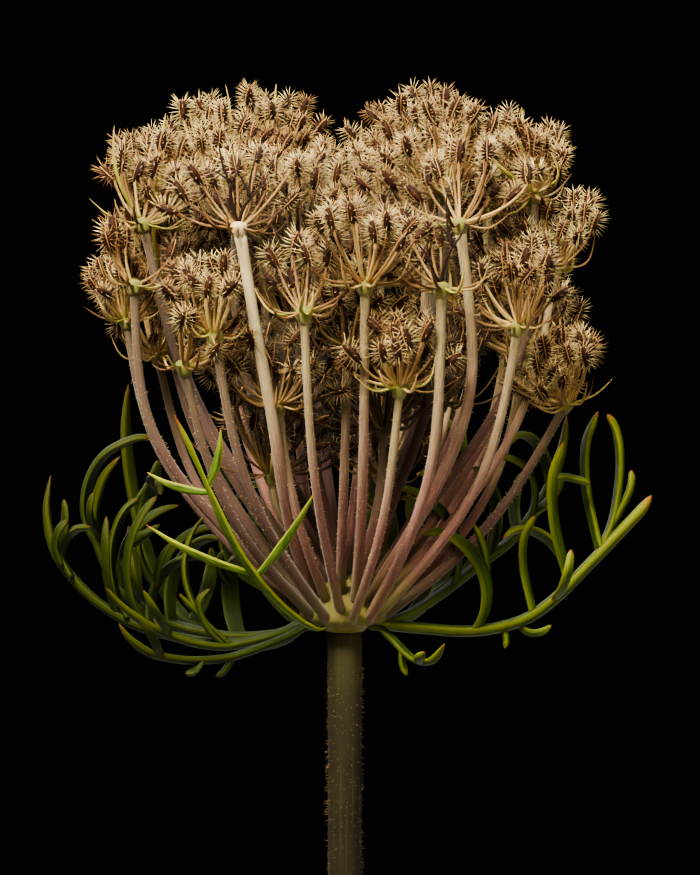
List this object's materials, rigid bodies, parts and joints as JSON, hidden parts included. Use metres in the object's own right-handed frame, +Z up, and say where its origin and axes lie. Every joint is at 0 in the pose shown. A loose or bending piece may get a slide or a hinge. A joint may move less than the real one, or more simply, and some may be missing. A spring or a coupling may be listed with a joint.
{
  "type": "dried queen annes lace in vase",
  "caption": "Dried wild carrot seed head, closed like a bird's nest over feathery green bracts, on a straight stem in a plain stoneware bud vase.",
  "frame": {"origin": "centre of the vase's flat foot, on the surface it stands on", "axes": "+Z up along the stem; the seed head's front faces -Y; +X to its right as seen from the front"},
  "size_m": [0.0816, 0.0752, 0.2314],
  "materials": {
    "vase": "matte stoneware",
    "stem": "dry ribbed stalk with short hairs",
    "receptacle": "dry, matte",
    "seed_head": "dry pink to cream rays and tan, bristly brown seeds",
    "bract": "satin leaf with orange brown tips"
  },
  "bodies": {
    "root": {"bract_01": "bract", "bract_02": "bract", "bract_03": "bract", "bract_04": "bract", "bract_05": "bract", "bract_06": "bract", "bract_07": "bract", "bract_08": "bract", "bract_09": "bract", "bract_10": "bract", "bract_11": "bract", "bract_12": "bract", "receptacle": "receptacle", "stem": "stem", "umbellet_01": "seed_head", "umbellet_02": "seed_head", "umbellet_03": "seed_head", "umbellet_04": "seed_head", "umbellet_05": "seed_head", "umbellet_06": "seed_head", "umbellet_07": "seed_head", "umbellet_08": "seed_head", "umbellet_09": "seed_head", "umbellet_10": "seed_head", "umbellet_11": "seed_head", "umbellet_12": "seed_head", "umbellet_13": "seed_head", "umbellet_14": "seed_head", "umbellet_15": "seed_head", "umbellet_16": "seed_head", "umbellet_17": "seed_head", "umbellet_18": "seed_head", "umbellet_19": "seed_head", "umbellet_20": "seed_head", "umbellet_21": "seed_head", "umbellet_22": "seed_head", "umbellet_23": "seed_head", "umbellet_24": "seed_head", "umbellet_25": "seed_head", "umbellet_26": "seed_head", "umbellet_27": "seed_head", "umbellet_28": "seed_head", "umbellet_29": "seed_head", "umbellet_30": "seed_head", "umbellet_31": "seed_head", "umbellet_32": "seed_head", "umbellet_33": "seed_head", "umbellet_34": "seed_head", "umbellet_35": "seed_head", "umbellet_36": "seed_head", "umbellet_37": "seed_head", "umbellet_38": "seed_head", "umbellet_39": "seed_head", "umbellet_40": "seed_head", "umbellet_41": "seed_head", "umbellet_42": "seed_head", "umbellet_43": "seed_head", "umbellet_44": "seed_head", "umbellet_45": "seed_head", "vase": "vase"}
  },
  "joints": []
}
